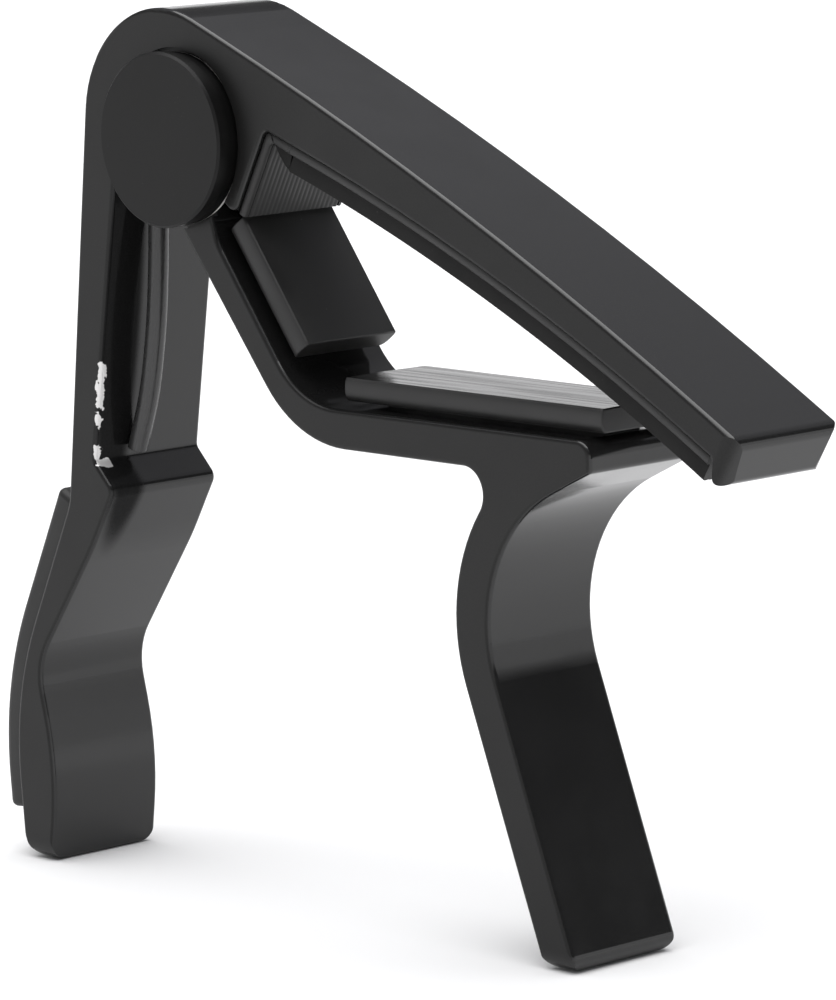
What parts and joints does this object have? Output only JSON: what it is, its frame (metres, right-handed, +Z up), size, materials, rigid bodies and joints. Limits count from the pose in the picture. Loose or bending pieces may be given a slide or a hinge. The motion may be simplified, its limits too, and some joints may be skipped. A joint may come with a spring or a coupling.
{
  "type": "guitar capo",
  "caption": "Spring-loaded guitar capo of two black aluminium profiles on one pivot, with rubber string and neck pads and two squeeze handles.",
  "frame": {"origin": "middle of the overall box on the plane that both handle feet stand on", "axes": "+X towards the tip of the string bar, +Y along the pivot, +Z up"},
  "size_m": [0.1092, 0.0198, 0.0933],
  "materials": {
    "anodised_aluminium": "black anodised, satin sides and glossy broad faces",
    "cap_plastic": "matte black",
    "acetal": "natural white",
    "steel": "ground",
    "spring_wire": "black oxide",
    "pad_rubber": "moulded, finely ribbed",
    "grip_rubber": "matte moulded"
  },
  "bodies": {
    "jaw": {"lower_jaw": "anodised_aluminium", "pivot_cap_near": "cap_plastic", "pivot_cap_far": "cap_plastic", "thrust_washer_near": "acetal", "thrust_washer_far": "acetal", "pivot_pin": "steel", "spring_bush": "acetal", "torsion_spring": "spring_wire", "neck_pad_side": "pad_rubber", "neck_pad_back": "pad_rubber"},
    "arm": {"upper_arm": "anodised_aluminium", "string_pad": "pad_rubber", "handle_grip": "grip_rubber"}
  },
  "joints": [
    {"name": "arm_opening", "type": "hinge", "parent": "jaw", "child": "arm", "pos_m": [-0.02316, 0, 0.0799], "axis": [0, -1, 0], "range_deg": [0, 35], "stiffness_Nm_per_rad": 2.9, "springref_deg": -24.06, "deforming": ["torsion_spring"]}
  ]
}
